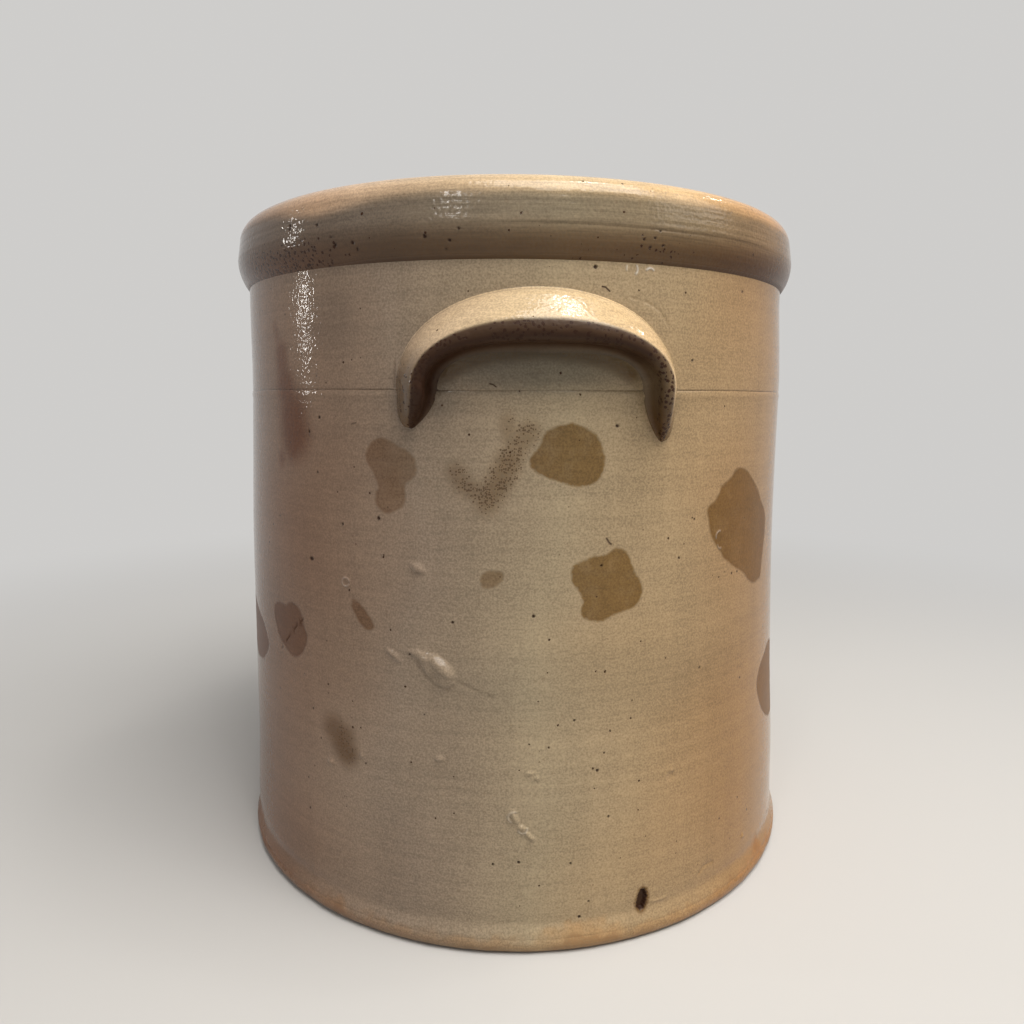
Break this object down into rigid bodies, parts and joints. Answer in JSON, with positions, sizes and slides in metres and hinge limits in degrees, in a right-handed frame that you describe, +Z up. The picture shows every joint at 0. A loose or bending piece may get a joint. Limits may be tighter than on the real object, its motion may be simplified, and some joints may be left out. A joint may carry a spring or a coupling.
{
  "type": "stoneware crock",
  "caption": "Open salt-glazed stoneware crock with a rolled rim collar, arched lug handles and a slip lining, for storing, pickling and serving food.",
  "frame": {"origin": "middle of the foot, on the surface that the crock stands on", "axes": "+Z up along the axis the crock was thrown about; the handles are on the -Y (front) and +Y (back) sides"},
  "size_m": [0.3038, 0.3196, 0.323],
  "materials": {
    "salt_glaze": "salt-glazed grey-tan stoneware, fine orange-peel gloss with iron specks and olive-brown patches",
    "slip_glaze": "glossy dark brown slip glaze"
  },
  "bodies": {
    "root": {"base_slab": "salt_glaze", "lower_wall": "salt_glaze", "upper_wall": "salt_glaze", "rim_collar": "salt_glaze", "front_handle": "salt_glaze", "back_handle": "salt_glaze", "slip_lining": "slip_glaze"}
  },
  "joints": []
}
